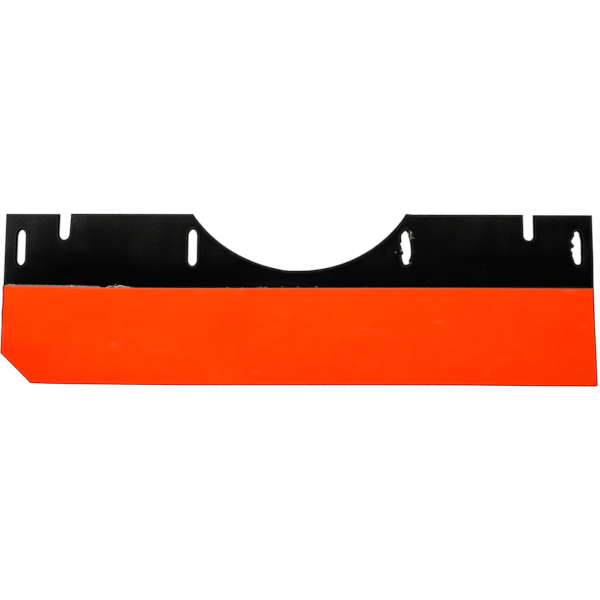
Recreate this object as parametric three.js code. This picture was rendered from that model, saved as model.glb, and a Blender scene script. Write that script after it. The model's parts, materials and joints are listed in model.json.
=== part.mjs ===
// A flat ATV snow plow blade: a black fabric-reinforced rubber sheet, slotted and scooped along its
// top edge, with an orange polyurethane wear strip bonded over its lower front.
// Millimetres. Seen from the front, +X is to the right and +Z is up; the front faces -Y.
// x = 0 is the middle of the width, y = 0 the middle of the thickness and z = 0 the cutting edge.
import * as THREE from "three";

// Overall sizes
const WIDTH = 1219.2; // 48 in
const HEIGHT = 353;
const CURVE_SEGMENTS = 12;
const SCOOP_SEGMENTS = 48;

// The rubber sheet, from the front cover to the rear one. Layer thicknesses are eighths of a
// millimetre, so that neighbouring faces meet exactly.
const SHEET_LAYERS = [
  { name: "front_cover_rubber", thickness: 2.25, look: "rubber" },
  { name: "front_fabric_ply", thickness: 0.75, look: "fabric" },
  { name: "tie_gum_layer", thickness: 0.375, look: "gum" },
  { name: "rear_fabric_ply", thickness: 0.75, look: "fabric" },
  { name: "rear_cover_rubber", thickness: 2.25, look: "rubber" },
];
const BOND_THICKNESS = 0.25;
const STRIP_THICKNESS = 6.375; // 1/4 in
const LAP = 108; // how far the sheet reaches down behind the strip

// The wear strip
const STRIP_HEIGHT = 199.75; // at its right end
const STRIP_DIP = { from: 400, full: -150, by: 2.15 }; // its top edge sinks by this much to the left
const STRIP_LEFT = -607.5;
const STRIP_RIGHT = 605.1; // at its top edge
const STRIP_FLARE = 2.3; // how much further right it reaches at the cutting edge
const CORNER_CUT = 63.5; // 2.5 in, at 45 degrees
const CORNER_RADIUS = 4.5;
const CURL_START = -330; // left of here the strip was laid curving up
const CURL_RISE = 4.5; // at the left end
const EDGE_STEP = 45; // length of the straight pieces that its curving edges are made of

// Adhesive
const BOND_INSET = 2;
const BEAD = { left: -600, right: -342, height: 0.5, thickness: 1.875, gap: 0.1 };
const BEAD_LUMPS = [
  { x: -579, reach: 15, rise: 1.6 },
  { x: -546, reach: 6, rise: 1.4 },
  { x: -503, reach: 8, rise: 1.8 },
  { x: -475, reach: 7, rise: 1.5 },
  { x: -451, reach: 7, rise: 2.2 },
  { x: -428, reach: 11, rise: 1.6 },
  { x: -386, reach: 4, rise: 1.8 },
  { x: -370, reach: 5, rise: 4 },
  { x: -353, reach: 5, rise: 1.4 },
];

// The half-round scoop in the top edge, an arc that was cut by hand and strays on its left half.
// Angles are in degrees from straight down, and a stray is how far the cut runs outside the arc.
const SCOOP = { x: 2.8, z: 500.8, radius: 266 };
const SCOOP_STRAYS = [
  { angle: -60, reach: 15, by: 1.45 },
  { angle: -25, reach: 11, by: -0.7 },
  { angle: -6, reach: 3.3, by: 1.1 },
];

// Slots open at the top edge, for dropping the sheet over bolts
const NOTCHES = [
  { left: -498.9, right: -474.2, footLeft: -499.3, footRight: -476.1, shoulder: 312, foot: 298.3 },
  { left: 466.6, right: 489.2, footLeft: 466.8, footRight: 489, shoulder: 310, foot: 298.7 },
];

// Closed bolt slots. Two are cut clean.
const SLOT_CROWN = 15; // height of the rounding at the top
const SLOT_FOOT = 13; // and at the bottom
const CLEAN_SLOTS = [
  { x: -576.5, width: 18.6, foot: 245, crown: 320.2 },
  { x: -219.8, width: 19.2, foot: 244.4, crown: 321.5 },
];
// Two were hacked out and left ragged: points from each slot's centre, clockwise from the crown.
const RAGGED_SLOTS = [
  {
    x: 223.3,
    z: 284,
    outline: [
      [-0.3, 36.3],
      [1.6, 34.2],
      [4.9, 31.3],
      [5.6, 27.5],
      [7, 21.5],
      [8.5, 17.4],
      [10.2, 5.5],
      [11.2, -7.5],
      [10.8, -18],
      [8.1, -24.2],
      [5.9, -28.3],
      [8.3, -32.2],
      [6.5, -34],
      [0.3, -36.5],
      [-4.8, -35.5],
      [-8.3, -27],
      [-9.5, -18],
      [-8.7, -15],
      [-5.1, -11.7],
      [-7.2, -7.5],
      [-9.6, -1],
      [-10.1, 3],
      [-12.5, 7.3],
      [-11.4, 9.3],
      [-9.1, 11.3],
      [-9.6, 16],
      [-10.1, 23.5],
      [-9.3, 26.3],
      [-7.6, 29.5],
    ],
  },
  {
    x: 576.4,
    z: 284.5,
    outline: [
      [2.5, 36.3],
      [5.6, 33.7],
      [8.6, 31.2],
      [8, 26],
      [9.8, 20.5],
      [11, 14.5],
      [10.6, -2],
      [10.2, -25],
      [10, -30.5],
      [8, -33.2],
      [4.5, -36],
      [-2, -35.2],
      [-5.8, -31],
      [-6, -27],
      [-8, -22.8],
      [-9.5, -18.5],
      [-9.8, -13],
      [-9, -9.8],
      [-11.9, -6],
      [-12.4, -3.5],
      [-11.2, -1.2],
      [-3.8, 2.5],
      [-7.6, 6.5],
      [-11.2, 12],
      [-11, 15],
      [-7.6, 19],
      [-6, 23],
      [-4.2, 26],
      [-5.4, 31.3],
      [-2, 34],
    ],
  },
];

// Places that follow from the sizes
const SHEET_THICKNESS = SHEET_LAYERS.reduce((sum, layer) => sum + layer.thickness, 0);
const FRONT = -(SHEET_THICKNESS + BOND_THICKNESS + STRIP_THICKNESS) / 2;
const STRIP_BACK = FRONT + STRIP_THICKNESS;
const SHEET_FRONT = STRIP_BACK + BOND_THICKNESS;
const SHEET_FOOT = STRIP_HEIGHT - LAP;

const MATERIALS = {
  rubber: new THREE.MeshStandardMaterial({ color: 0x141414, roughness: 0.6, metalness: 0 }),
  fabric: new THREE.MeshStandardMaterial({ color: 0xb8b2a4, roughness: 0.95, metalness: 0 }),
  gum: new THREE.MeshStandardMaterial({ color: 0x1d1b19, roughness: 0.8, metalness: 0 }),
  adhesive: new THREE.MeshStandardMaterial({ color: 0xcfc6b4, roughness: 0.7, metalness: 0 }),
  urethane: new THREE.MeshStandardMaterial({ color: 0xfe4202, roughness: 0.45, metalness: 0 }),
};

// A plate with an outline drawn in x and z, from the depth `front` back to front + thickness.
function plate(name, outline, front, thickness, look) {
  const geometry = new THREE.ExtrudeGeometry(outline, {
    depth: thickness,
    bevelEnabled: false,
    curveSegments: CURVE_SEGMENTS,
  });
  const mesh = new THREE.Mesh(geometry, MATERIALS[look]);
  mesh.name = name;
  mesh.rotation.x = Math.PI / 2;
  mesh.position.y = front + thickness;
  return mesh;
}

// How far the strip's edges have risen at x, from nothing at CURL_START to CURL_RISE at its end.
function curl(x) {
  const along = Math.max(0, (CURL_START - x) / (CURL_START - STRIP_LEFT));
  return CURL_RISE * along ** 2;
}

// The height of the strip's top edge at x.
function seam(x) {
  const sunk = 1 - THREE.MathUtils.smoothstep(x, STRIP_DIP.full, STRIP_DIP.from);
  return STRIP_HEIGHT - STRIP_DIP.by * sunk + curl(x);
}

// The points of a line whose height at x is height(x), from x = from to x = to.
function edgeLine(height, from, to) {
  const steps = Math.ceil(Math.abs(to - from) / EDGE_STEP);
  return Array.from({ length: steps + 1 }, (_, i) => {
    const x = THREE.MathUtils.lerp(from, to, i / steps);
    return new THREE.Vector2(x, height(x));
  });
}

// A slot open at the top edge, drawn from right to left.
function addNotch(shape, { left, right, footLeft, footRight, shoulder, foot }) {
  const middle = (footLeft + footRight) / 2;
  shape.lineTo(right, HEIGHT);
  shape.lineTo(footRight, shoulder);
  shape.absellipse(middle, shoulder, (footRight - footLeft) / 2, shoulder - foot, 0, Math.PI, true);
  shape.lineTo(left, HEIGHT);
}

// The scoop's radius at an angle in radians from straight down.
function scoopRadius(angle) {
  const degrees = THREE.MathUtils.radToDeg(angle);
  const strays = SCOOP_STRAYS.map((s) => s.by * Math.exp(-(((degrees - s.angle) / s.reach) ** 2)));
  return SCOOP.radius + strays.reduce((sum, stray) => sum + stray, 0);
}

// The angle at which the scoop meets the top edge: side is 1 on the right and -1 on the left.
function scoopEnd(side) {
  let angle = 0;
  for (let i = 0; i < 12; i++) {
    angle = side * Math.acos((SCOOP.z - HEIGHT) / scoopRadius(angle));
  }
  return angle;
}

// The half-round scoop, drawn from right to left.
function addScoop(shape) {
  for (let i = 0; i <= SCOOP_SEGMENTS; i++) {
    const angle = THREE.MathUtils.lerp(scoopEnd(1), scoopEnd(-1), i / SCOOP_SEGMENTS);
    const radius = scoopRadius(angle);
    shape.lineTo(SCOOP.x + radius * Math.sin(angle), SCOOP.z - radius * Math.cos(angle));
  }
}

function cleanSlot({ x, width, foot, crown }) {
  const hole = new THREE.Path();
  hole.absellipse(x, crown - SLOT_CROWN, width / 2, SLOT_CROWN, Math.PI, 0, true);
  hole.absellipse(x, foot + SLOT_FOOT, width / 2, SLOT_FOOT, 0, Math.PI, true);
  return hole;
}

function raggedSlot({ x, z, outline }) {
  return new THREE.Path(outline.map(([dx, dz]) => new THREE.Vector2(x + dx, z + dz)));
}

function sheetOutline() {
  const half = WIDTH / 2;
  const [leftNotch, rightNotch] = NOTCHES;
  const shape = new THREE.Shape();
  shape.moveTo(-half, HEIGHT);
  shape.lineTo(-half, SHEET_FOOT);
  shape.lineTo(half, SHEET_FOOT);
  shape.lineTo(half, HEIGHT);
  addNotch(shape, rightNotch);
  addScoop(shape);
  addNotch(shape, leftNotch);
  shape.holes.push(...CLEAN_SLOTS.map(cleanSlot), ...RAGGED_SLOTS.map(raggedSlot));
  return shape;
}

// The layers of the rubber sheet, stacked from its front face back.
function sheetLayers() {
  let front = SHEET_FRONT;
  return SHEET_LAYERS.map(({ name, thickness, look }) => {
    const layer = plate(name, sheetOutline(), front, thickness, look);
    front += thickness;
    return layer;
  });
}

function stripOutline() {
  const shape = new THREE.Shape();
  const footRight = STRIP_RIGHT + STRIP_FLARE;
  const cutFoot = STRIP_LEFT + CORNER_CUT;
  edgeLine(curl, cutFoot, CURL_START).forEach(({ x, y }, i) =>
    i ? shape.lineTo(x, y) : shape.moveTo(x, y),
  );
  shape.absarc(footRight - CORNER_RADIUS, CORNER_RADIUS, CORNER_RADIUS, -Math.PI / 2, 0, false);
  edgeLine(seam, STRIP_RIGHT, STRIP_LEFT).forEach(({ x, y }) => shape.lineTo(x, y));
  shape.lineTo(STRIP_LEFT, CORNER_CUT);
  return shape;
}

function wearStrip() {
  return plate("wear_strip", stripOutline(), FRONT, STRIP_THICKNESS, "urethane");
}

// The film of adhesive between the strip and the sheet.
function bondFilm() {
  const left = STRIP_LEFT + BOND_INSET;
  const right = STRIP_RIGHT - BOND_INSET;
  const top = (x) => seam(x) - BOND_INSET;
  const shape = new THREE.Shape();
  shape.moveTo(left, SHEET_FOOT + BOND_INSET);
  shape.lineTo(right, SHEET_FOOT + BOND_INSET);
  edgeLine(top, right, left).forEach(({ x, y }) => shape.lineTo(x, y));
  return plate("bond_film", shape, STRIP_BACK, BOND_THICKNESS, "adhesive");
}

// The adhesive pressed out on top of the strip along its left end, as a lumpy bead.
function squeezeOut() {
  const rest = (x) => seam(x) + BEAD.gap;
  const crest = BEAD_LUMPS.flatMap(({ x, reach, rise }) => [
    [x - reach, BEAD.height],
    [x - reach / 2, BEAD.height + 0.8 * rise],
    [x, BEAD.height + rise],
    [x + reach, BEAD.height],
  ]);
  const shape = new THREE.Shape(edgeLine(rest, BEAD.right, BEAD.left));
  crest.forEach(([x, height]) => shape.lineTo(x, rest(x) + height));
  const front = SHEET_FRONT - BEAD.thickness;
  return plate("bond_squeeze_out", shape, front, BEAD.thickness, "adhesive");
}

const blade = new THREE.Group();
blade.name = "atv_plow_blade";
blade.add(...sheetLayers(), bondFilm(), squeezeOut(), wearStrip());

export default blade;
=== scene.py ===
import json
import math
import random

import bmesh
import bpy
import numpy as np
from mathutils import Matrix, Vector, kdtree, noise
from mathutils.geometry import delaunay_2d_cdt

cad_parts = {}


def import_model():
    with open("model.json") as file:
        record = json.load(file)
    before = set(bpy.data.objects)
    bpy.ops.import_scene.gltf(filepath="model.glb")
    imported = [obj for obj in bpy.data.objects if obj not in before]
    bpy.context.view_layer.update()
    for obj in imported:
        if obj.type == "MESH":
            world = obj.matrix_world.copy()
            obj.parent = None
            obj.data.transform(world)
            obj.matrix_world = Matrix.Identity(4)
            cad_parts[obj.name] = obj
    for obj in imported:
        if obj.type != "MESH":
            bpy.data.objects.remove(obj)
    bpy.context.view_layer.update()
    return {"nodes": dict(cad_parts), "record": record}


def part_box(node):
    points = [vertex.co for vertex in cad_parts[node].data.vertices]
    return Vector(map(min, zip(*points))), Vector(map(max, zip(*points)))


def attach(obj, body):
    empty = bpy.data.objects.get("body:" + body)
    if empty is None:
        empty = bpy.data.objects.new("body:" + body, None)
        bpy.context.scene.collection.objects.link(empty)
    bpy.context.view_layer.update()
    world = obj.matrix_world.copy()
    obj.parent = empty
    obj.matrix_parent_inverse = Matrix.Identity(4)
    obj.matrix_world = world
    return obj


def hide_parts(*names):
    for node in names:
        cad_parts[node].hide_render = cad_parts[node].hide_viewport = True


# The looks of the ATV plow blade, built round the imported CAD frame. Shapes are worked out in
# millimetres on the frame's axes (+X right, -Y front, +Z up) and turned into metres at the end.

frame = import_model()
NODES = frame["nodes"]
MM = 0.001

# Places read from the CAD, in millimetres


def box_mm(node):
    low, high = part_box(node)
    return np.array(low) / MM, np.array(high) / MM


SHEET_LOW, SHEET_HIGH = box_mm("front_cover_rubber")
STRIP_LOW, STRIP_HIGH = box_mm("wear_strip")
BEAD_LOW, BEAD_HIGH = box_mm("bond_squeeze_out")
SHEET_FRONT = SHEET_LOW[1]
SHEET_TOP = SHEET_HIGH[2]
STRIP_MIDDLE = (STRIP_LOW[1] + STRIP_HIGH[1]) / 2  # halfway through its thickness
OPENINGS = {o["name"]: np.array(o["box_m"]) / MM for o in frame["record"]["physics"]["openings"]}

# Finish of the plates, in millimetres
OUTLINE_STEP = 2.4  # between the points of a clean outline
TORN_STEP = 0.9  # and of a torn one
DENSE_STEP = 0.5  # and of the one that distances are measured to
ROWS = (0.1, 0.3, 0.6, 1.1, 2.0, 3.0, 4.0, 5.2, 7.0)  # rows of points inside the outline
FULL_ROW = 3.5  # rows further in than this have half as many points
ROW_ROOM = 0.86  # share of a row's distance that its points must keep from every edge
GRID = 8.0  # between the inner points
GRID_RISE = 0.87  # height of a row of inner points, as a share of GRID
GRID_ROOM = 1.35  # how far the inner points keep from every edge, in last rows
SHAKE = 0.8  # how far an inner point is moved at random
SPOT_GRID = 6  # extra points from the middle of a spot to its side
EDGE_REACH = 20.0  # the distance to the outline isn't told apart beyond this
RUBBER_GROW = 0.55  # how far the rubber swells at its cut edges
STRIP_GROW = 0.4  # and the strip
PLATE_SHARP = 40  # degrees between faces from which an edge is sharp
LUMP_SHARP = 70


def hum(points, size, seed):
    """Smooth noise from -1 to 1 at each point, with lumps of that size in mm."""
    return np.array([noise.noise(Vector((x / size, z / size, seed * 7.31))) for x, z in points])


def hill(value, middle, width):
    """1 at the middle, fading out on both sides over the half width."""
    return np.exp(-(((value - middle) / width) ** 2))


def hills(value, table):
    """The sum of hills given as (middle, half width, height)."""
    return sum(height * hill(value, middle, width) for middle, width, height in table)


def patch(x, z, middle_x, middle_z, wide, high):
    """1 at the middle, fading out over the half width and the half height."""
    return np.exp(-(((x - middle_x) / wide) ** 2) - ((z - middle_z) / high) ** 2)


def patches(x, z, table):
    """The sum of patches given as (x, z, half width, half height, amount)."""
    return sum(amount * patch(x, z, *where) for *where, amount in table)


def step_down(value, low, high):
    """1 up to low, 0 from high on, and smooth between them."""
    t = np.clip((value - low) / (high - low), 0, 1)
    return 1 - t * t * (3 - 2 * t)


def step_up(value, low, high):
    return 1 - step_down(value, low, high)


# Outlines


def outline(node):
    """The node's front outline as closed loops of (x, z), with the material on the left."""
    mesh = NODES[node].data
    steps = {}
    for face in mesh.polygons:
        if face.normal.y > -0.9:
            continue
        ring = [mesh.vertices[i].co for i in face.vertices]
        ring = [(round(v.x, 6), round(v.z, 6)) for v in ring]
        for a, b in zip(ring, ring[1:] + ring[:1]):
            if (b, a) in steps:
                del steps[b, a]
            else:
                steps[a, b] = True
    follow = {a: b for a, b in steps}
    loops = []
    while follow:
        start = min(follow)
        loop = [start]
        point = follow.pop(start)
        while point != start:
            loop.append(point)
            point = follow.pop(point)
        loops.append(np.array(loop) / MM)
    return loops


def resampled(loop, step):
    """The loop with points no further apart than step."""
    out = []
    for a, b in zip(loop, np.roll(loop, -1, 0)):
        n = max(1, math.ceil(np.linalg.norm(b - a) / step))
        out.extend(a + (b - a) * i / n for i in range(n))
    return np.array(out)


def rounded(loop, share):
    """The loop with its corners cut once, at that share of each side."""
    after = np.roll(loop, -1, 0)
    pair = np.stack([loop * (1 - share) + after * share, loop * share + after * (1 - share)], 1)
    return pair.reshape(-1, 2)


def inward(loop):
    """The way into the material at each point, longer at corners so that rows stay parallel."""
    before = loop - np.roll(loop, 1, 0)
    after = np.roll(loop, -1, 0) - loop
    left = [np.stack([-d[:, 1], d[:, 0]], 1) for d in (before, after)]
    left = [n / np.linalg.norm(n, axis=1)[:, None] for n in left]
    mean = left[0] + left[1]
    mean /= np.maximum(np.linalg.norm(mean, axis=1), 1e-6)[:, None]
    stretch = 1 / np.clip((mean * left[0]).sum(1), 0.6, 1)
    return mean * stretch[:, None]


def is_hacked(loop):
    """Whether the loop is one of the two roughly cut slots."""
    middle = loop.mean(0)
    few_points, near = 60, 12
    return len(loop) < few_points and any(
        np.abs(middle - OPENINGS[name].mean(0)[[0, 2]]).max() < near
        for name in ("slot_right_inner", "slot_right_outer")
    )


def cut_edge(loop, seed, roughness, torn):
    """The outline as a blade left it: a slight waver, and tears round the two hacked slots."""
    if is_hacked(loop):
        loop = resampled(rounded(loop, 0.3), TORN_STEP)
        push = torn * (hum(loop, 2.6, seed) + 0.5 * hum(loop, 1.1, seed + 1))
    else:
        loop = resampled(loop, OUTLINE_STEP)
        push = roughness * hum(loop, 6, seed)
    return loop + inward(loop) * push[:, None]


def near_outline(loops):
    """A function giving the distance in mm from a point to the outline."""
    dense = np.concatenate([resampled(loop, DENSE_STEP) for loop in loops])
    tree = kdtree.KDTree(len(dense))
    for i, (x, z) in enumerate(dense):
        tree.insert((x, z, 0), i)
    tree.balance()
    return lambda p: tree.find((p[0], p[1], 0))[2]


def inside_test(loops):
    """A function that says whether a point is in the material, by counting crossings."""
    a = np.concatenate(loops)
    b = np.concatenate([np.roll(loop, -1, 0) for loop in loops])

    def inside(p):
        spans = (a[:, 1] > p[1]) != (b[:, 1] > p[1])
        u, v = a[spans], b[spans]
        x = u[:, 0] + (p[1] - u[:, 1]) * (v[:, 0] - u[:, 0]) / (v[:, 1] - u[:, 1])
        return bool((x > p[0]).sum() % 2)

    return inside


def inner_points(loops, rows, spots):
    """Points in the material and each one's distance to the outline: rows along the outline, a
    loose grid within them, and a finer grid at each spot, given as (x, z, reach)."""
    points, depth = [], []
    distance = near_outline(loops)
    for row in rows:
        for loop in loops:
            every = 1 if row < FULL_ROW else 2
            for p in (loop + inward(loop) * row)[::every]:
                if distance(p) > row * ROW_ROOM:
                    points.append(tuple(p))
                    depth.append(row)
    low = np.min([loop.min(0) for loop in loops], 0)
    high = np.max([loop.max(0) for loop in loops], 0)
    rng = random.Random(5)
    free = []
    for j in range(int((high[1] - low[1]) / (GRID * GRID_RISE)) + 1):
        for i in range(int((high[0] - low[0]) / GRID) + 1):
            x = low[0] + (i + 0.5 * (j % 2)) * GRID + rng.uniform(-SHAKE, SHAKE)
            z = low[1] + j * GRID * GRID_RISE + rng.uniform(-SHAKE, SHAKE)
            free.append((x, z))
    around = range(-SPOT_GRID, SPOT_GRID + 1)
    for x, z, reach in spots:
        for j in around:
            for i in around:
                shake = rng.uniform(-0.2, 0.2)
                free.append((
                    x + i * reach / SPOT_GRID + shake, z + j * reach / SPOT_GRID + shake,
                ))
    inside = inside_test(loops)
    for p in free:
        d = distance(p)
        if d > rows[-1] * GRID_ROOM and inside(p):
            points.append(p)
            depth.append(d)
    return points, depth


def filled(loops, rows=(), spots=()):
    """Points and triangles that fill the loops: (points, distance to the outline, triangles).
    The loops' own points come first, in order."""
    points = [tuple(p) for loop in loops for p in loop]
    rim = len(points)
    depth = [0.0] * rim
    edges = []
    for loop in loops:
        start, n = len(edges), len(loop)
        edges.extend((start + i, start + (i + 1) % n) for i in range(n))
    if rows:
        more_points, more_depth = inner_points(loops, rows, spots)
        points += more_points
        depth += more_depth
    inside_edges, same_place = 2, 1e-5
    _, _, faces, origin, _, _ = delaunay_2d_cdt(
        [Vector(p) for p in points], edges, [], inside_edges, same_place
    )
    first = [min(o) if o else -1 for o in origin]
    if min(first) < 0 or set(range(rim)) - set(first):
        raise RuntimeError("the outline crosses itself")
    kept = sorted(set(first))
    place = {old: new for new, old in enumerate(kept)}
    triangles = [tuple(place[first[i]] for i in face) for face in faces]
    points, depth = np.array(points)[kept], np.array(depth)[kept]
    inside = inside_test(loops)
    triangles = [t for t in triangles if max(t) >= rim or inside(points[list(t)].mean(0))]
    return points, depth, triangles


# The strip's top edge, from the CAD outline
CAD_STRIP = outline("wear_strip")[0]
SEAM_RISE = 12  # mm, more than the top edge rises and falls
SEAM_LINE = CAD_STRIP[CAD_STRIP[:, 1] > STRIP_HIGH[2] - SEAM_RISE]
SEAM_LINE = SEAM_LINE[np.argsort(SEAM_LINE[:, 0])]
STRIP_TOP = float(SEAM_LINE[-1, 1])  # at its right end
# Where the strip strays from that line: x, half width, height
SEAM_HILLS = (
    (-510, 32, 0.5), (-590, 35, -0.35), (-240, 70, -0.3), (-20, 90, 0.2), (400, 120, -0.25),
    (570, 50, -0.4),
)


def seam_wave(x):
    """How far the strip's top edge lies above its CAD line at x."""
    return hills(x, SEAM_HILLS)


def seam_z(x):
    """The height of the strip's top edge at x."""
    return np.interp(x, SEAM_LINE[:, 0], SEAM_LINE[:, 1]) + seam_wave(x)


# Meshes


def new_object(name, verts, faces, sharp, attributes=None):
    """A smooth-shaded piece from points in mm, with a value per point for each attribute."""
    mesh = bpy.data.meshes.new(name)
    mesh.from_pydata([tuple(v) for v in np.asarray(verts, float) * MM], [], faces)
    for key, values in (attributes or {}).items():
        layer = mesh.attributes.new(key, "FLOAT", "POINT")
        layer.data.foreach_set("value", np.asarray(values, np.float32))
    mesh.validate()
    mesh.polygons.foreach_set("use_smooth", [True] * len(mesh.polygons))
    mesh.set_sharp_from_angle(angle=math.radians(sharp))
    mesh.update()
    obj = bpy.data.objects.new(name, mesh)
    bpy.context.scene.collection.objects.link(obj)
    return obj


def plate(name, node, seed, *, grow, warp, front=0.0, back=0.0, cut=0.08, torn=0.35, looks=None,
          spots=()):
    """A closed plate on the node's outline, between the node's front and back. front and back are
    the radii of the worn arrises there; where one is 0 that face is flat and plain. cut and torn
    are how far the outline wavers, and grow is how far it swells."""
    low, high = box_mm(node)
    loops = [cut_edge(loop, seed + i, cut, torn) for i, loop in enumerate(outline(node))]
    loops = [loop - inward(loop) * grow for loop in loops]
    fine = filled(loops, ROWS, spots) if front or back else None
    plain = None if front and back else filled(loops)
    verts, faces, depths, walls = [], [], [], []
    for radius, y, way in ((front, low[1], 1), (back, high[1], -1)):
        points, depth, triangles = fine if radius else plain
        start = len(verts)
        dip = np.maximum(radius - depth, 0)
        drop = radius - np.sqrt(np.maximum(radius**2 - dip**2, 0))
        for (x, z), d in zip(points, drop):
            verts.append((x, y + way * d, z))
        depths.extend(depth)
        faces.extend(
            tuple(start + i for i in (t if way > 0 else reversed(t))) for t in triangles
        )
        walls.append(start)
    start = 0
    for loop in loops:
        n = len(loop)
        for i in range(n):
            j = (i + 1) % n
            faces.append((
                walls[0] + start + j, walls[0] + start + i,
                walls[1] + start + i, walls[1] + start + j,
            ))
        start += n
    verts = np.array(verts)
    depths = np.array(depths)
    attributes = {"edge": np.minimum(depths, EDGE_REACH)}
    if looks:
        attributes.update(looks(verts))
    return new_object(name, warp(verts, depths), faces, PLATE_SHARP, attributes)


def blob(centre, size, seed):
    """A lumpy closed lump: (verts, faces). size is its half width, half depth and half height."""
    bm = bmesh.new()
    bmesh.ops.create_icosphere(bm, subdivisions=1, radius=1)
    out = []
    for v in bm.verts:
        grown = 1 + 0.32 * noise.noise(v.co * 1.7 + Vector((seed * 3.7, 0, 0)))
        out.append([centre[k] + v.co[k] * size[k] * grown for k in range(3)])
    bm.verts.ensure_lookup_table()
    faces = [tuple(v.index for v in f.verts) for f in bm.faces]
    bm.free()
    return out, faces


def skinned(rings, sides):
    """Faces of a closed body made of that many rings, each with that many points."""
    faces = []
    for k in range(rings - 1):
        for s in range(sides):
            t = (s + 1) % sides
            faces.append((
                k * sides + s, k * sides + t, (k + 1) * sides + t, (k + 1) * sides + s,
            ))
    faces.append(tuple(reversed(range(sides))))
    faces.append(tuple((rings - 1) * sides + s for s in range(sides)))
    return faces


def tube(path, radius, sides=6):
    """A closed tube along points in mm, tapering to its far end: (verts, faces)."""
    path = [Vector(p) for p in path]
    verts = []
    side = Vector((0.3, 0.2, 1)).normalized()
    for k, p in enumerate(path):
        along = (path[min(k + 1, len(path) - 1)] - path[max(k - 1, 0)]).normalized()
        side = (side - along * side.dot(along)).normalized()
        up = along.cross(side)
        r = radius * (1 - 0.55 * k / (len(path) - 1))
        for s in range(sides):
            a = 2 * math.pi * s / sides
            verts.append(tuple(p + side * (r * math.cos(a)) + up * (r * math.sin(a))))
    return verts, skinned(len(path), sides)


def joined(name, parts):
    """One object of several closed bodies."""
    verts, faces = [], []
    for more_verts, more_faces in parts:
        start = len(verts)
        verts.extend(more_verts)
        faces.extend(tuple(start + i for i in f) for f in more_faces)
    return new_object(name, verts, faces, LUMP_SHARP)


# Materials


class Shader:
    """A Principled material and short calls for its nodes."""

    def __init__(self, name, **fixed):
        self.material = bpy.data.materials.new(name)
        self.material.use_nodes = True
        self.tree = self.material.node_tree
        self.bsdf = self.tree.nodes["Principled BSDF"]
        for key, value in fixed.items():
            self.bsdf.inputs[key.replace("_", " ")].default_value = value
        self.place = self.add("TexCoord").outputs["Object"]

    def add(self, kind, inputs=None, **settings):
        node = self.tree.nodes.new("ShaderNode" + kind)
        for key, value in settings.items():
            setattr(node, key, value)
        for key, value in (inputs or {}).items():
            self.put(node.inputs[key], value)
        return node

    def put(self, socket, value):
        if isinstance(value, bpy.types.NodeSocket):
            self.tree.links.new(value, socket)
        else:
            socket.default_value = value

    def noise(self, scale, detail, roughness, stretch=(1, 1, 1), seed=0.0):
        """Noise with lumps 1/scale metres across."""
        moved = self.add("Mapping", {
            "Vector": self.place, "Scale": stretch, "Location": (seed, 0, 0),
        })
        texture = self.add("TexNoise", {
            "Vector": moved.outputs[0], "Scale": scale, "Detail": detail, "Roughness": roughness,
        })
        return texture.outputs["Fac"]

    def attribute(self, name):
        return self.add("Attribute", attribute_name=name).outputs["Fac"]

    def times(self, a, b):
        return self.add("Math", {0: a, 1: b}, operation="MULTIPLY").outputs[0]

    def larger(self, a, b):
        return self.add("Math", {0: a, 1: b}, operation="MAXIMUM").outputs[0]

    def ramp(self, value, low, high, start=0.0, end=1.0):
        """Smoothly from start, where the value is low, to end, where it is high."""
        return self.add("MapRange", {
            "Value": value, "From Min": low, "From Max": high, "To Min": start, "To Max": end,
        }, interpolation_type="SMOOTHSTEP").outputs[0]

    def mix(self, share, a, b):
        """Colour a, with that share of colour b."""
        factor, colour_a, colour_b, colour_out = 0, 6, 7, 2
        inputs = {factor: share, colour_a: a, colour_b: b}
        return self.add("Mix", inputs, data_type="RGBA").outputs[colour_out]

    def bump(self, *layers):
        """Bumps given as (height, distance in metres, strength), stacked."""
        normal = None
        for height, distance, strength in layers:
            inputs = {"Height": height, "Distance": distance, "Strength": strength}
            if normal is not None:
                inputs["Normal"] = normal
            normal = self.add("Bump", inputs).outputs[0]
        self.put(self.bsdf.inputs["Normal"], normal)

    def set(self, key, value):
        self.put(self.bsdf.inputs[key], value)


def rgb(r, g, b):
    return (r, g, b, 1.0)


def grey(value):
    return rgb(value, value, value)


def rubber_material():
    """Black rubber with a patchy grey or olive bloom; the grey cast also holds painted sheen. Along
    its edges it is darkened to black as painted shade, with a paler line of painted highlight
    inside that."""
    s = Shader("black_rubber_sheet", Specular_IOR_Level=0.006)
    edge = s.attribute("edge")
    clouds = s.noise(11, 4, 0.55)
    streaks = s.noise(26, 3, 0.6, stretch=(1, 1, 0.16), seed=3)
    grain = s.noise(160, 5, 0.65, seed=5)
    patchy = s.times(s.ramp(clouds, 0.34, 0.66, 0.7, 1.3), s.ramp(streaks, 0.3, 0.7, 0.76, 1.24))
    patchy = s.times(patchy, s.ramp(grain, 0.3, 0.7, 0.66, 1.34))
    # The grey cast is partly the rubber's own bloom and partly painted sheen.
    bloom = s.times(s.attribute("bloom"), patchy)
    stains = s.noise(34, 3, 0.55, seed=8)
    olive = s.times(s.attribute("olive"), s.ramp(stains, 0.36, 0.6))
    tint = s.mix(olive, rgb(0.0108, 0.0107, 0.0109), rgb(0.0112, 0.0110, 0.0052))
    colour = s.mix(bloom, grey(0.0003), tint)
    # A painted highlight: a paler line a little inside every cut edge.
    pale_highlight_line = s.times(s.ramp(edge, 2.8, 3.6), s.ramp(edge, 5.2, 4.2))
    pale_highlight_line = s.times(pale_highlight_line, s.ramp(s.noise(60, 2, 0.5, seed=9), 0.35, 0.6, 0.25, 0.6))
    colour = s.mix(pale_highlight_line, colour, grey(0.024))
    # Painted shade: the cut edges themselves are darkened to black.
    colour = s.mix(s.ramp(edge, 3.0, 2.2), colour, grey(0.0001))
    s.set("Base Color", colour)
    s.set("Roughness", s.ramp(clouds, 0.3, 0.7, 0.5, 0.64))
    s.bump((s.noise(38, 3, 0.5), 0.0004, 0.25), (s.noise(900, 3, 0.6), 0.00006, 0.5))
    return s.material


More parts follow.
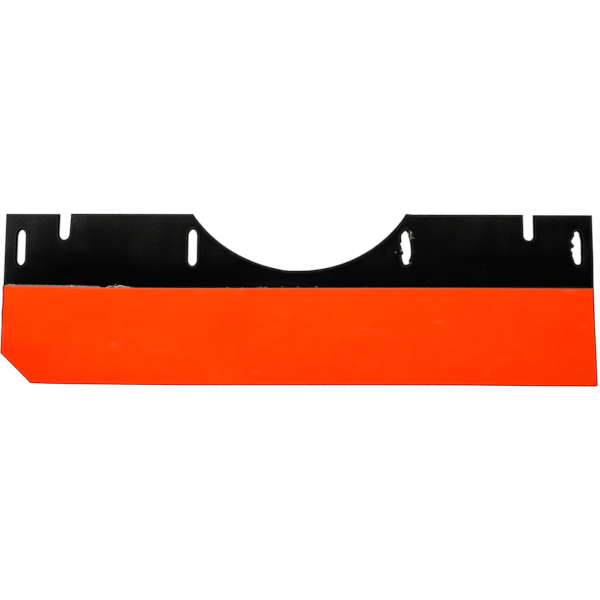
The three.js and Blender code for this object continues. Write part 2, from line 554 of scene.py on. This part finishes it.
def urethane_material():
    """Orange, mottled a little. What the attributes mean is told at strip_looks."""
    s = Shader("orange_urethane_cast", Specular_IOR_Level=0.01)
    edge = s.attribute("edge")
    clouds = s.noise(7, 4, 0.55)
    fine = s.noise(70, 4, 0.6)
    colour = s.mix(s.ramp(clouds, 0.3, 0.7), rgb(0.86, 0.0298, 0.0), rgb(0.86, 0.0345, 0.0))
    colour = s.mix(s.ramp(fine, 0.35, 0.7, 0, 0.4), colour, rgb(0.86, 0.0352, 0.0))
    colour = s.mix(s.attribute("warm"), colour, rgb(0.87, 0.040, 0.0006))
    mottle = s.noise(30, 4, 0.6, stretch=(1, 1, 1.7), seed=3)
    colour = s.mix(s.ramp(mottle, 0.36, 0.64, 0, 0.48), colour, rgb(0.855, 0.0235, 0.0))
    # A painted highlight along the strip's top edge and left end.
    colour = s.mix(s.attribute("haze"), colour, rgb(0.90, 0.085, 0.022))
    # Deeper red: the strip's own clouds, and painted shade towards its foot and lower left corner.
    colour = s.mix(s.attribute("deep"), colour, rgb(0.84, 0.0215, 0.0))
    rubbed = s.times(s.attribute("smear"), s.ramp(s.noise(240, 4, 0.65), 0.38, 0.6, 0.15, 1.0))
    colour = s.mix(rubbed, colour, rgb(0.93, 0.075, 0.018))
    # A painted highlight: a pale line inside the cut edges, away from the top edge.
    pale_highlight_line = s.times(s.ramp(edge, 2.8, 3.6), s.ramp(edge, 5.8, 4.6))
    pale_highlight_line = s.times(pale_highlight_line, s.attribute("line"))
    colour = s.mix(pale_highlight_line, colour, rgb(0.90, 0.075, 0.02))
    # Painted shade along the strip's top edge, where it meets the sheet.
    colour = s.mix(s.attribute("lip"), colour, rgb(0.37, 0.058, 0.0165))
    # Painted shade: the cut edges other than the top one are darkened, more widely at the left end.
    rim = s.times(s.ramp(edge, 3.2, 2.2), s.attribute("rim"))
    rim = s.larger(rim, s.attribute("shade"))
    colour = s.mix(rim, colour, rgb(0.2, 0.003, 0.0006))
    s.set("Base Color", colour)
    s.set("Roughness", s.ramp(fine, 0.3, 0.7, 0.4, 0.5))
    s.bump(
        (s.noise(24, 3, 0.5, seed=4), 0.0005, 0.2), (s.noise(700, 4, 0.6, seed=2), 0.00005, 0.45),
    )
    return s.material


def adhesive_material(name, light, dark):
    s = Shader(name, Specular_IOR_Level=0.25)
    lumps = s.noise(420, 4, 0.65)
    s.set("Base Color", s.mix(s.ramp(lumps, 0.35, 0.65), dark, light))
    s.set("Roughness", s.ramp(lumps, 0.3, 0.7, 0.75, 0.5))
    s.bump((s.noise(1100, 4, 0.6, seed=6), 0.0002, 0.7))
    return s.material


def fabric_material():
    s = Shader("ply_fabric_weave", Specular_IOR_Level=0.1, Roughness=0.95, Sheen_Weight=0.1)
    yarns = {"Vector": s.place, "Scale": 260.0, "Distortion": 0.6, "Detail": 1.0}
    warp, weft = (
        s.add("TexWave", yarns, bands_direction=way).outputs["Fac"] for way in ("X", "Z")
    )
    weave = s.times(warp, weft)
    dirt = s.ramp(s.noise(300, 4, 0.6), 0.42, 0.66)
    colour = s.mix(dirt, grey(0.003), rgb(0.02, 0.018, 0.015))
    s.set("Base Color", s.mix(s.ramp(weave, 0.0, 0.5, 0.4, 0.0), colour, grey(0.002)))
    s.bump((weave, 0.0002, 0.6))
    return s.material


def gum_material():
    s = Shader("tie_gum_matt", Specular_IOR_Level=0.15)
    specks = s.noise(500, 4, 0.6)
    s.set("Base Color", s.mix(s.ramp(specks, 0.4, 0.7), grey(0.003), rgb(0.012, 0.011, 0.01)))
    s.set("Roughness", s.ramp(specks, 0.3, 0.7, 0.9, 0.75))
    s.bump((specks, 0.0001, 0.5))
    return s.material


def fibre_material():
    s = Shader("frayed_fibre", Specular_IOR_Level=0.3, Sheen_Weight=0.3)
    tone = s.noise(600, 3, 0.6)
    dark, light = rgb(0.16, 0.15, 0.13), rgb(0.5, 0.48, 0.43)
    s.set("Base Color", s.mix(s.ramp(tone, 0.35, 0.65), dark, light))
    s.set("Roughness", s.ramp(tone, 0.3, 0.7, 0.7, 0.9))
    s.bump((s.noise(2500, 2, 0.5), 0.00005, 0.5))
    return s.material


def floor_material():
    s = Shader("pale_floor", Specular_IOR_Level=0.0, Roughness=1.0)
    tone = s.noise(3, 3, 0.5)
    s.set("Base Color", s.mix(tone, grey(0.29), grey(0.31)))
    s.bsdf.inputs["Emission Color"].default_value = rgb(1, 1, 1)
    s.bsdf.inputs["Emission Strength"].default_value = FLOOR_GLOW
    return s.material


# Looks that vary over a plate, as values at its points


# Clouds on the sheet: x, z, half width, half height, how much paler, how olive
CLOUDS = (
    (-510, 277, 22, 18, -0.1, 0), (-260, 336, 42, 18, -0.13, 0.25), (505, 330, 50, 12, -0.08, 0),
    (592, 318, 20, 20, -0.07, 0), (-10, 238, 120, 22, 0.06, 0), (-165, 268, 24, 18, 0.07, 0),
    (158, 262, 26, 18, 0.09, 0), (195, 283, 14, 14, 0.06, 0), (-580, 274, 22, 16, -0.14, 0),
    (-545, 268, 20, 16, -0.08, 0), (-460, 268, 26, 14, -0.06, 0), (400, 262, 90, 12, -0.07, 0),
    (-40, 208, 70, 8, 0.12, 0), (-214, 262, 14, 10, -0.1, 0), (-556, 322, 42, 22, 0.1, 0),
    (540, 353, 42, 8, 0.1, 0), (-494, 292, 15, 12, 0.09, 0), (-462, 338, 14, 16, 0.1, 0),
    (-325, 352, 62, 42, 0.13, 0.2), (-385, 346, 32, 12, 0, 0.7), (-232, 302, 30, 36, 0.04, 0.8),
    (-300, 300, 45, 14, 0.02, 0.4), (-262, 256, 40, 9, 0.04, 0.2), (-380, 262, 40, 12, -0.03, 0),
    (318, 330, 30, 22, 0.02, 0.9), (380, 348, 40, 12, 0.06, 0), (430, 336, 22, 14, 0.02, 0.9),
    (505, 346, 14, 10, 0.02, 0.9), (262, 276, 16, 12, 0, 0.6), (592, 268, 14, 34, 0.14, 0.8),
    (590, 335, 20, 20, 0.02, 0.2), (-596, 232, 9, 18, 0.04, 0),
)


def rubber_looks(verts):
    """Bloom and sheen: the grey cast on the rubber, partly its own bloom and partly painted sheen,
    strongest along its top and at its left end, as if lit from the upper left. Olive: how much of
    it is olive."""
    x, z = verts[:, 0], verts[:, 2]
    spread = hum(np.stack([x, z], 1), 45, 12)
    # Painted sheen: the cast grows towards the top and towards the left end, as if lit from the
    # upper left.
    up = (z - STRIP_TOP) / (SHEET_TOP - STRIP_TOP) + 0.03 * spread
    up += 0.06 * hill(x, -300, 80) - 0.02 * step_down(x, -440, -400)
    strength = 0.14 + 0.33 * step_down(x, -458, -424) + 0.2 * step_down(x, -200, 60)
    strength += 0.05 * step_up(x, 240, 420) - 0.03 * step_up(x, 470, 560)
    low_part = 0.40 * step_up(up, 0.20, 0.62)
    top_part = 0.60 * np.clip((up - 0.60) / 0.335, 0, 1.05) ** 2.2
    bloom = strength * (low_part + top_part) + 0.05 * step_up(x, -100, 450)
    from_end = x + 610
    left_end = 0.18 * step_down(x, -556, -516) + 0.9 * np.exp(-from_end / 16)
    bloom += left_end * step_up(z, 215, 290)
    corner = 0.5 * np.exp(-from_end / 14) + 0.06 * step_down(x, -545, -480)
    bloom += corner * step_down(z, 236, 268)
    olive = np.zeros(len(verts))
    for *where, pale, green in CLOUDS:
        there = patch(x, z, *where)
        bloom += pale * there
        olive += green * there
    return {"bloom": np.maximum(bloom, 0), "olive": np.clip(olive, 0, 1)}


# Rubbed spots on the strip: x, z, half width, half height, how pale
SMEARS = (
    (-377, 83, 8, 3, 0.85), (-203, 188, 9, 5, 0.25), (-117, 195, 5, 3, 0.75),
    (-124, 187, 8, 4, 0.25), (-25, 146, 12, 6, 0.12), (-88, 74, 9, 6, 0.06),
    (-286, 69, 12, 6, 0.15), (-86, 27, 7, 4, 0.45), (289, 130, 10, 3, 0.7),
    (138, 114, 12, 4, 0.28), (17, 169, 9, 5, 0.16), (60, 183, 9, 4, 0.12),
    (556, 197, 13, 5, 1.0), (584, 123, 7, 4, 0.6), (385, 28, 4, 7, 0.45),
)


# Clouds on the strip, warmer or, where below 0, deeper: x, z, half width, half height, amount
TONES = (
    (-250, 55, 110, 45, 0.42), (-300, 98, 90, 28, 0.25), (-145, 22, 28, 16, 0.5),
    (-132, 132, 48, 30, -0.52), (120, 112, 90, 22, 0.28), (-590, 190, 40, 14, 0.4),
    (-405, 175, 25, 30, -0.3), (460, 186, 45, 14, 0.38), (545, 112, 35, 30, -0.28),
    (-570, 68, 45, 22, -0.45), (-370, 12, 70, 10, -0.3), (-200, 168, 30, 26, 0.1),
    (-110, 186, 60, 16, -0.25), (60, 190, 40, 14, -0.2), (390, 60, 40, 14, 0.15),
    (-575, 180, 30, 22, 0.28), (-490, 190, 35, 14, 0.3), (430, 178, 48, 26, 0.36),
    (-408, 143, 26, 20, -0.27), (45, 128, 26, 14, 0.25), (170, 130, 30, 14, 0.2),
    (350, 120, 40, 26, 0.22), (-540, 122, 60, 22, 0.24), (-400, 88, 55, 18, 0.32),
    (500, 95, 28, 20, -0.28), (-535, 60, 36, 20, -0.28), (-285, 46, 60, 16, 0.24),
    (248, 58, 30, 15, -0.24), (-368, 18, 24, 12, -0.36), (-165, 26, 26, 14, 0.28),
    (45, 42, 30, 14, 0.22), (415, 55, 30, 30, 0.18), (-565, 26, 80, 16, -0.2),
    (-286, 188, 26, 10, -0.22), (160, 30, 50, 14, 0.15),
)


def strip_looks(verts):
    """Edge highlight: a painted highlight, a paler cast along the top edge and the left end. Smear:
    rubbed
    spots. Deep and warm: redder and yellower clouds; deep also darkens the strip towards its foot
    and its
    lower left corner as painted shade. Rim: how much painted shade darkens the cut edge, and shade:
    the same painted shade where it is wider, at the left end. Lip shade: painted shade along the
    top edge. Line: a painted highlight, the pale line inside the other edges."""
    x, y, z = verts.T
    below = seam_z(x) - seam_wave(x) - z
    left = x - STRIP_LOW[0]
    by_width = 0.06 + 0.12 * step_down(x, -600, -330)
    # A painted highlight along the top edge, stronger towards the left, and down the left end.
    haze = by_width * np.exp(-np.maximum(below, 0) / 1.6)
    haze += 0.3 * np.exp(-np.maximum(left, 0) / 3.0) * step_down(below, 60, 190)
    # Painted shade: darker towards the foot, except round x = -215, and towards the lower left
    # corner.
    deep = np.maximum(0, 0.3 - 0.34 * hill(x, -215, 140)) * step_down(z, 0, 70)
    deep += 0.75 * step_down(x + z, -600, -400)
    tone = patches(x, z, TONES)
    front = y < STRIP_MIDDLE
    return {
        "haze": np.clip(haze, 0, 1) * front,
        "smear": np.clip(patches(x, z, SMEARS), 0, 1) * front,
        "deep": np.clip(deep - tone, 0, 1),
        "warm": np.clip(tone, 0, 1),
        # Painted shade along the cut edges, and more widely up the left end's upper part.
        "rim": step_up(below, 3, 5),
        "shade": 0.9 * step_down(left, 2.6, 4.2) * step_up(z, 105, 135),
        # Painted shade along the top edge.
        "lip": 0.95 * step_down(below, 0.9, 3.2) + 0.05 * step_down(below, 4, 10),
        # Painted highlight along the edges other than the top one.
        "line": 0.3 * step_up(below, 8, 12),
    }


# How the strip strays from its CAD outline: middle, half width and height in mm
FOOT_HILLS = ((170, 150, 0.7), (-240, 110, -0.7), (330, 100, 0.8), (-490, 60, -0.6))  # by x
LEFT_BULGES = ((146, 10, 0.85), (196, 9, 0.85))  # by z
RIGHT_HOLLOWS = ((150, 32, 0.45),)


def strip_warp(verts, depth):
    """The strip was cut and laid a little wavy."""
    x, y, z = verts.T
    up = np.clip(z / STRIP_TOP, 0, 1)
    rise = seam_wave(x) * up + hills(x, FOOT_HILLS) * (1 - up)
    swell = 0.12 * hum(np.stack([x, z], 1), 90, 3) * np.clip(depth / EDGE_REACH, 0, 1)
    front = y < STRIP_MIDDLE
    to_left = hills(z, LEFT_BULGES) * step_down(x, -606, -570)
    to_left += hills(z, RIGHT_HOLLOWS) * step_up(x, 565, 602)
    return np.stack([x - to_left, y + swell * front, z + rise], 1)


def sheet_warp(verts, depth):
    """The sheet isn't dead flat above the strip, and its cut edges aren't dead straight."""
    x, y, z = verts.T
    free = step_up(z, 206, 230)
    swell = 0.15 * hum(np.stack([x, z], 1), 110, 8) * free * np.clip(depth / EDGE_REACH, 0, 1)
    front = y < SHEET_FRONT + 1
    near_top = step_up(z, 300, 340)
    outer_tabs = step_down(x, -500, -490) + step_up(x, 470, 486)
    burr = 1.1 * hill(x, 226, 7)
    to_left = step_down(z, 208, 262) * step_up(x, 560, 605)
    rise = (burr - 0.65 * outer_tabs) * near_top
    return np.stack([x - to_left, y + swell * front, z + rise], 1)


# Adhesive along the seam: a bead on top of the strip's left end, a skin behind it, threads, a hair
# at the right end, and crumbs

# How far the bead stands above the strip's top edge, and the thin skin behind it: x, height
BEAD_TOP = (
    (-606.5, 2.4), (-598, 2.6), (-594, 2.2), (-583, 2.6), (-579, 3.0), (-545, 2.8), (-495, 3.0),
    (-470, 3.1), (-442, 3.2), (-434, 2.5), (-411, 2.8), (-407, 0.5), (-399, 0.4), (-395, 1.4),
    (-390, 1.0), (-386, 0.6), (-382, 0.8), (-377, 2.2), (-368, 2.2), (-361, 2.2), (-352, 1.8),
    (-345, 1.2), (-330, 0.5),
)
SKIN_TOP = (
    (-487, 2.4), (-478, 4.6), (-445, 4.8), (-436, 4.1), (-424, 4.0), (-413, 3.0), (-407, 0.9),
    (-397, 1.0), (-390, 2.4), (-383, 2.2), (-376, 3.8), (-366, 4.6), (-358, 4.2), (-350, 3.2),
    (-342, 2.2), (-335, 0.8),
)
RIDGE_STEP = 0.9  # mm between the rings of the bead and the skin
RIDGE_ARC = 8  # points across their rounded face

# Threads of dried adhesive: points of x and height above the strip's top edge
CURLS = (
    ((-396, 0.4), (-392, 2.4), (-388, 3.8), (-384.5, 3.4), (-381.5, 1.6)),
    ((-380, 4.8), (-377.5, 2.6), (-375, 1.3), (-372, 2.8), (-369, 4.8)),
    ((-369.5, 4.9), (-364, 4.1), (-359, 3.0), (-353, 1.8)),
    ((-351.5, 2.4), (-348.5, 0.9)),
    ((-597.5, 1.2), (-595.6, 3.8)),
    ((-591, 1.0), (-588.8, 3.3)),
    ((-586.6, 1.0), (-584.6, 3.3)),
    ((-469, 3.4), (-465.5, 1.6), (-461, 2.4)),
)
THREAD_RADIUS = 0.75
THREAD_LIFT = 0.2  # mm in front of the bead
HAIR_RADIUS = 0.33


def ridge(tops, thick, wobble, seed):
    """A lumpy ridge in the corner between the sheet and the top of the strip."""
    verts = []
    xs = np.arange(tops[0][0], tops[-1][0] + 0.01, RIDGE_STEP)
    for x in xs:
        height = float(np.interp(x, *zip(*tops))) + wobble * noise.noise(Vector((x / 3.1, 0, seed)))
        height *= 1 + 0.45 * noise.noise(Vector((x / 1.9, 4, seed)))
        deep = thick * (0.72 + 0.28 * noise.noise(Vector((x / 4, 9, seed))))
        ends = min(1.0, (x - xs[0]) / 2 + 0.1, (xs[-1] - x) / 2 + 0.1)
        height, deep = max(0.25, height) * ends, deep * ends
        foot = seam_z(x) + 0.1
        for s in range(RIDGE_ARC):
            a = math.pi / 2 * s / (RIDGE_ARC - 1)
            verts.append((x, SHEET_FRONT - math.cos(a) * deep, foot + math.sin(a) * height))
        verts.append((x, SHEET_FRONT, foot))
    return verts, skinned(len(xs), RIDGE_ARC + 1)


def curls():
    y = BEAD_LOW[1] - THREAD_LIFT
    return [tube([(x, y, seam_z(x) + up) for x, up in curl], THREAD_RADIUS) for curl in CURLS]


def hairline():
    """A hair of adhesive just above the right end of the seam."""
    xs = range(538, 603, 5)
    path = [(x, SHEET_FRONT, seam_z(x) + 3.2 + 0.15 * math.sin(x / 9)) for x in xs]
    return tube(path, HAIR_RADIUS)


# Heaps of crumbs: x, half width, how high they reach
HEAPS = (
    (-579, 15, 1.6), (-546, 6, 1.4), (-503, 8, 1.8), (-475, 7, 1.5), (-451, 7, 2.2),
    (-428, 11, 1.6), (-386, 4, 1.8), (-370, 5, 3.0), (-353, 5, 1.4),
)
LOOSE_CRUMBS = 46  # scattered over the bead
# The largest crumbs: x, height above the strip's top edge, size
BIG_CRUMBS = (
    (-376.5, 7.8, 0.9), (-375.5, 2.2, 2.0), (-371.5, 3.8, 1.3), (-367.5, 4.4, 1.1),
    (-379, 4.0, 0.9), (-392.5, 2.4, 0.9), (-389, 3.6, 0.8), (-384.5, 2.8, 0.8),
    (-362, 3.0, 0.9), (-356, 2.2, 0.8),
    (-349.5, 1.4, 0.8), (-595.8, 2.8, 1.1), (-588.8, 2.6, 0.8), (-467, 2.0, 1.1), (-463, 1.8, 0.9),
    (-412, 1.4, 0.7), (-147, 2.2, 0.9), (-115, 0.9, 0.8), (-109, 0.8, 0.8), (-82, 2.0, 0.9),
    (-79, 2.2, 1.0), (-76, 2.0, 1.0), (-73, 1.6, 0.8), (-69, 2.4, 1.1), (-66, 2.0, 0.9),
    (-33, 2.8, 1.0), (-1, 3.0, 0.8), (35.5, 1.9, 0.8), (37.5, 3.4, 1.2), (140.5, 3.6, 0.8),
)
# Groups of three small crumbs along the rest of the seam: x, size
TRIOS = (
    (-144, 0.6), (-115, 0.55), (-86, 0.6), (-74, 0.7), (-67, 0.8), (-63, 0.6), (-30, 0.6), (2, 0.5),
    (39, 0.8), (145, 0.7),
)


def crumbs():
    """Crumbs of adhesive: thick along the left fifth, then a few single ones."""
    rng = random.Random(41)
    parts = []

    def crumb(x, z, size):
        shares = (rng.uniform(0.7, 1.5), rng.uniform(0.5, 0.9), rng.uniform(0.6, 1.1))
        half = [size * share for share in shares]
        centre = (x, SHEET_FRONT - half[1] * 0.6, z)
        parts.append(blob(centre, half, rng.random() * 50))

    for at, reach, rise in HEAPS:
        for _ in range(int(6 + reach)):
            x = at + rng.gauss(0, reach * 0.6)
            crumb(x, seam_z(x) + abs(rng.gauss(0, 0.45)) * rise + 0.3, rng.uniform(0.3, 0.75))
    for _ in range(LOOSE_CRUMBS):
        x = rng.uniform(-598, -345)
        crumb(x, seam_z(x) + abs(rng.gauss(0, 0.8)) + 0.3, rng.uniform(0.22, 0.5))
    for x, up, size in BIG_CRUMBS:
        crumb(x, seam_z(x) + up, size)
    for x, size in TRIOS:
        for _ in range(3):
            there = x + rng.uniform(-1.5, 1.5)
            crumb(there, seam_z(there) + rng.uniform(0.5, 1.5), size * rng.uniform(0.6, 1.0))
    return parts


# Grit on the sheet: x, z, size, and how many smaller grains are strewn over it
SPECKS = (
    (201.6, 273.5, 1.6), (-198.9, 274.5, 0.45), (-165.7, 280.9, 0.3), (269.2, 213.3, 0.4),
    (386, 249, 0.52), (567, 223.5, 0.5), (523.5, 205.7, 0.4), (-467.3, 338, 0.6),
    (-556.1, 309.3, 0.45), (-428.2, 219.5, 0.3),
)
DUST_GRAINS = 45


def specks():
    """Grit and dust stuck to the front of the sheet."""
    rng = random.Random(77)
    parts = []
    for x, z, size in SPECKS:
        half = (size * 0.8, size * 0.35, size * 0.8)
        parts.append(blob((x, SHEET_FRONT - half[1] * 0.5, z), half, x))
    inside = inside_test(outline("front_cover_rubber"))
    made = 0
    while made < DUST_GRAINS:
        x = rng.uniform(SHEET_LOW[0] + 6, SHEET_HIGH[0] - 6)
        z = rng.uniform(STRIP_TOP + 8, SHEET_TOP - 6)
        if not inside((x, z)):
            continue
        size = rng.uniform(0.08, 0.18)
        parts.append(blob((x, SHEET_FRONT - size * 0.15, z), (size, size * 0.4, size), x))
        made += 1
    return parts


# Fibres torn out of the plies: x, z on the slot's rim, direction in degrees, how many, length
FRAYS = (
    (229.5, 310.8, 5, 5, 5.0), (234.6, 314.6, 0, 12, 2.6), (233.2, 318, 20, 1, 3.0),
    (234, 305.4, 8, 6, 11.0), (231.5, 303.4, -5, 5, 5.0), (214.5, 290, 175, 3, 4.0),
    (214.0, 280, 195, 5, 6.0), (231, 252, -40, 2, 3.5), (569, 287.5, 180, 3, 4.5),
    (571.5, 306, 160, 2, 4.0), (568.0, 276, 200, 2, 3.5),
)
FIBRE_STEPS = 9  # along the part of a fibre that lies free


def fibres():
    """Fibres that come out of the slot's wall and lie on the front of the sheet."""
    rng = random.Random(23)
    parts = []
    for x, z, heading, count, length in FRAYS:
        for _ in range(count):
            angle = math.radians(heading + rng.gauss(0, 38))
            turn = rng.gauss(0, 0.35)
            step = length * rng.uniform(0.5, 1.2) / FIBRE_STEPS
            px, pz = x + rng.uniform(-1.2, 1.2), z + rng.uniform(-2.5, 2.5)
            px -= 1.5 * math.cos(math.radians(heading))
            path = [(px, SHEET_FRONT + 2.6, pz), (px, SHEET_FRONT + 1.2, pz)]
            for k in range(FIBRE_STEPS + 1):
                lift = 0.25 + 0.8 * math.sin(math.pi * k / FIBRE_STEPS) * rng.uniform(0.6, 1.0)
                path.append((px, SHEET_FRONT - lift, pz))
                px += step * math.cos(angle)
                pz += step * math.sin(angle)
                angle += turn + rng.gauss(0, 0.18)
            parts.append(tube(path, rng.uniform(0.13, 0.24)))
    return parts


# Build

LOOKS = {
    "black_rubber": rubber_material(),
    "ply_fabric": fabric_material(),
    "tie_gum": gum_material(),
    "adhesive": adhesive_material("dried_adhesive", rgb(0.34, 0.19, 0.145), rgb(0.15, 0.08, 0.06)),
    "orange_urethane": urethane_material(),
}
FIBRE = fibre_material()
CRUMB = adhesive_material("dried_adhesive_crumb", rgb(0.50, 0.38, 0.32), rgb(0.24, 0.16, 0.13))
THREAD = adhesive_material("dried_adhesive_thread", rgb(0.85, 0.66, 0.58), rgb(0.55, 0.40, 0.35))
SKIN = adhesive_material("thin_adhesive", rgb(0.055, 0.038, 0.034), rgb(0.02, 0.014, 0.013))
GRIT = adhesive_material("pale_grit", rgb(0.42, 0.41, 0.39), rgb(0.16, 0.155, 0.15))


def finish_piece(obj, slot, *replaced, material=None):
    """Give the piece its material, picked by slot unless one is given, attach it to the root body,
    and hide the CAD nodes it stands in for.
    """
    obj.data.materials.append(material or LOOKS[slot])
    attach(obj, "root")
    if replaced:
        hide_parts(*replaced)


finish_piece(
    plate("sheet_front_cover", "front_cover_rubber", 1, grow=RUBBER_GROW, warp=sheet_warp,
          front=0.8, looks=rubber_looks),
    "black_rubber", "front_cover_rubber",
)
finish_piece(
    plate("sheet_front_ply", "front_fabric_ply", 11, grow=RUBBER_GROW, warp=sheet_warp,
          cut=0.2, torn=0.7),
    "ply_fabric", "front_fabric_ply",
)
finish_piece(
    plate("sheet_tie_gum", "tie_gum_layer", 21, grow=RUBBER_GROW, warp=sheet_warp, cut=0.1),
    "tie_gum", "tie_gum_layer",
)
finish_piece(
    plate("sheet_rear_ply", "rear_fabric_ply", 31, grow=RUBBER_GROW, warp=sheet_warp,
          cut=0.2, torn=0.7),
    "ply_fabric", "rear_fabric_ply",
)
finish_piece(
    plate("sheet_rear_cover", "rear_cover_rubber", 41, grow=RUBBER_GROW, warp=sheet_warp,
          back=0.8, looks=rubber_looks),
    "black_rubber", "rear_cover_rubber",
)
finish_piece(
    plate("orange_wear_strip", "wear_strip", 51, grow=STRIP_GROW, warp=strip_warp,
          front=1.0, back=0.8, cut=0.12, looks=strip_looks,
          spots=[(x, z, 2 * max(wide, high)) for x, z, wide, high, _ in SMEARS]),
    "orange_urethane", "wear_strip",
)
finish_piece(
    joined("adhesive_bead", [ridge(BEAD_TOP, BEAD_HIGH[1] - BEAD_LOW[1], 0.9, 0)]),
    "adhesive", "bond_squeeze_out",
)
finish_piece(
    joined("adhesive_skin", [ridge(SKIN_TOP, 0.4, 0.6, 5), hairline()]), "adhesive", material=SKIN
)
finish_piece(joined("adhesive_crumbs", crumbs()), "adhesive", material=CRUMB)
finish_piece(joined("adhesive_threads", curls()), "adhesive", material=THREAD)
finish_piece(joined("grit_specks", specks()), "adhesive", material=GRIT)
finish_piece(joined("frayed_fibres", fibres()), "ply_fabric", material=FIBRE)

film = NODES["bond_film"]
film.data.materials.clear()
film.data.materials.append(LOOKS["adhesive"])

# Floor, light and camera, in metres and degrees

FLOOR_DROP = 0.0012  # the floor lies under the waves of the strip's foot
FLOOR_GLOW = 0.95
CAMERA_PLACE = (0.011, -1.3, 0.0715)
CAMERA_TURN = 0.31  # to the left
CAMERA_TILT = 4.514  # up
CAMERA_ROLL = 0.204
CAMERA_LENS = 37.978  # mm
CAMERA_SENSOR = 36  # mm


def floor():
    bm = bmesh.new()
    bmesh.ops.create_grid(bm, x_segments=8, y_segments=8, size=4.0)
    mesh = bpy.data.meshes.new("floor")
    bm.to_mesh(mesh)
    bm.free()
    obj = bpy.data.objects.new("floor", mesh)
    obj.location.z = -FLOOR_DROP
    bpy.context.scene.collection.objects.link(obj)
    obj.data.materials.append(floor_material())


def softbox(name, place, aim, size, watts):
    light = bpy.data.lights.new(name, "AREA")
    light.shape = "RECTANGLE"
    light.size, light.size_y = size
    light.energy = watts
    obj = bpy.data.objects.new(name, light)
    obj.location = place
    obj.rotation_euler = (Vector(aim) - Vector(place)).to_track_quat("-Z", "Y").to_euler()
    obj.visible_camera = False
    bpy.context.scene.collection.objects.link(obj)


def world(backdrop, fill):
    """White behind everything, and a dim even fill as light."""
    scene_world = bpy.data.worlds.new("studio")
    scene_world.use_nodes = True
    bpy.context.scene.world = scene_world
    tree = scene_world.node_tree
    tree.nodes.clear()
    seen, lit = (tree.nodes.new("ShaderNodeBackground") for _ in range(2))
    seen.inputs[0].default_value = lit.inputs[0].default_value = rgb(1, 1, 1)
    seen.inputs[1].default_value = backdrop
    lit.inputs[1].default_value = fill
    path = tree.nodes.new("ShaderNodeLightPath")
    both = tree.nodes.new("ShaderNodeMixShader")
    out = tree.nodes.new("ShaderNodeOutputWorld")
    tree.links.new(path.outputs["Is Camera Ray"], both.inputs[0])
    tree.links.new(lit.outputs[0], both.inputs[1])
    tree.links.new(seen.outputs[0], both.inputs[2])
    tree.links.new(both.outputs[0], out.inputs[0])


floor()
world(1.0, 0.05)
softbox("key", (-0.16, -0.71, 0.75), (-0.20, 0, 0.90), (1.32, 0.80), 24.4)
softbox("overhead", (0, 0.1, 2.0), (0, 0.1, 0), (2.4, 2.0), 8)
softbox("rear", (0.5, 1.3, 1.2), (0, 0, 0.15), (1.0, 0.7), 25)

camera = bpy.data.cameras.new("camera")
camera.lens = CAMERA_LENS
camera.sensor_width = CAMERA_SENSOR
camera.clip_start = 0.01
view = bpy.data.objects.new("camera", camera)
view.matrix_world = (
    Matrix.Translation(CAMERA_PLACE)
    @ Matrix.Rotation(math.radians(CAMERA_TURN), 4, "Z")
    @ Matrix.Rotation(math.radians(90 + CAMERA_TILT), 4, "X")
    @ Matrix.Rotation(math.radians(CAMERA_ROLL), 4, "Z")
)
bpy.context.scene.collection.objects.link(view)
bpy.context.scene.camera = view
bpy.context.scene.view_settings.view_transform = "Standard"
